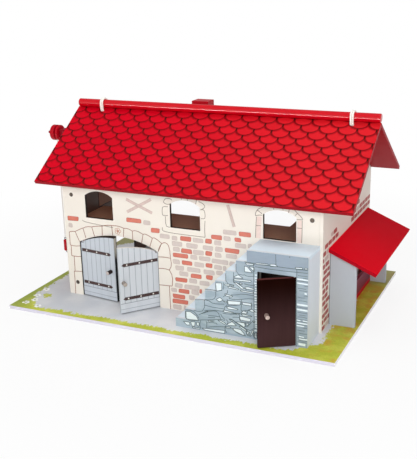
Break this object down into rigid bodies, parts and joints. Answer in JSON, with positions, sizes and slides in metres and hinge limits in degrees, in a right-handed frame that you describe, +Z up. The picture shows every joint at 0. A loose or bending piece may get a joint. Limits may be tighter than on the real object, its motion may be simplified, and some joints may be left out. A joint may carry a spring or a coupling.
{
  "type": "toy barn",
  "caption": "Toy barn of printed boards on a base, with a hinged red roof, swinging doors, arched windows, an outside stair over a store, a lean-to and a hoist.",
  "frame": {"origin": "centre of the base board's underside", "axes": "+X along the front towards the lean-to, +Y towards the open back, +Z up"},
  "size_m": [0.5662, 0.3449, 0.2884],
  "materials": {
    "base_print": "printed board, satin",
    "wall_print": "printed board, satin",
    "stone_print": "printed board, satin",
    "step_grey": "painted board, satin",
    "roof_red": "printed board, satin",
    "dark_red": "painted board, satin",
    "brown_board": "raw fibreboard, matt",
    "door_blue": "printed board, satin",
    "door_brown": "printed board, satin",
    "knob_wood": "turned wood, satin",
    "steel_pin": "plain wire",
    "screw_dark": "blackened",
    "cord_white": "twisted cotton",
    "hook_black": "black wire"
  },
  "bodies": {
    "barn": {"base_board": "base_print", "front_wall": "wall_print", "left_gable": "wall_print", "right_gable": "wall_print", "corner_post_left": "brown_board", "corner_post_right": "brown_board", "wall_screws": "screw_dark", "loft_floor": "brown_board", "loft_rail_front": "brown_board", "loft_rail_left": "brown_board", "loft_rail_right": "brown_board", "ridge_pole": "roof_red", "roof_tie_left": "cord_white", "roof_tie_right": "cord_white", "stair_front": "stone_print", "stair_treads": "step_grey", "stair_risers": "step_grey", "landing_board": "step_grey", "annex_side": "step_grey", "lean_to_roof": "dark_red", "lean_to_near_side": "step_grey", "lean_to_far_side": "step_grey", "lean_to_cleat": "brown_board", "manger_board": "dark_red", "hoist_beam": "dark_red", "hoist_axle": "dark_red", "hoist_cord": "cord_white"},
    "left_door": {"left_barn_door": "door_blue", "left_door_knob": "knob_wood", "left_door_pins": "steel_pin"},
    "right_door": {"right_barn_door": "door_blue", "right_door_knob": "knob_wood", "right_door_pins": "steel_pin"},
    "store_door": {"small_door": "door_brown", "small_door_knob": "knob_wood", "small_door_pins": "steel_pin"},
    "hatch": {"loft_hatch": "door_brown", "loft_hatch_knob": "knob_wood", "loft_hatch_pins": "steel_pin"},
    "front_roof": {"front_roof_panel": "roof_red"},
    "back_roof": {"back_roof_panel": "roof_red", "chimney": "roof_red"},
    "wheel": {"hoist_wheel": "roof_red", "hoist_wrap": "cord_white"},
    "hook": {"hook_weight": "roof_red", "hook_eye": "hook_black", "hook_tip": "hook_black"}
  },
  "joints": [
    {"name": "left_door_swing", "type": "hinge", "parent": "barn", "child": "left_door", "pos_m": [-0.1649, -0.0935, 0.055], "axis": [0, 0, -1], "range_deg": [-7.5, 89.5]},
    {"name": "right_door_swing", "type": "hinge", "parent": "barn", "child": "right_door", "pos_m": [-0.0386, -0.0935, 0.055], "axis": [0, 0, 1], "range_deg": [-50, 47]},
    {"name": "store_door_swing", "type": "hinge", "parent": "barn", "child": "store_door", "pos_m": [0.1867, -0.143, 0.055], "axis": [0, 0, 1], "range_deg": [-31, 66]},
    {"name": "hatch_swing", "type": "hinge", "parent": "barn", "child": "hatch", "pos_m": [-0.1895, 0.0449, 0.145], "axis": [0, 0, -1], "range_deg": [0, 97]},
    {"name": "front_roof_lift", "type": "hinge", "parent": "barn", "child": "front_roof", "pos_m": [0.0115, 0.02, 0.27947], "axis": [-1, 0, 0], "range_deg": [0, 95], "deforming": ["roof_tie_left", "roof_tie_right"]},
    {"name": "back_roof_lift", "type": "hinge", "parent": "barn", "child": "back_roof", "pos_m": [0.0115, 0.02, 0.27947], "axis": [1, 0, 0], "range_deg": [0, 60], "deforming": ["roof_tie_left", "roof_tie_right"]},
    {"name": "wheel_spin", "type": "hinge", "parent": "barn", "child": "wheel", "pos_m": [-0.2728, 0.02, 0.22797], "axis": [-1, 0, 0], "range_deg": [0, 1380], "deforming": ["hoist_cord"]},
    {"name": "hook_lift", "type": "slide", "parent": "barn", "child": "hook", "axis": [0, 0, 1], "range_m": [0, 0.1181], "deforming": ["hoist_cord"]}
  ],
  "couplings": [
    {"joint": "hook_lift", "follows": "wheel_spin", "m_per_rad": 0.0049}
  ]
}
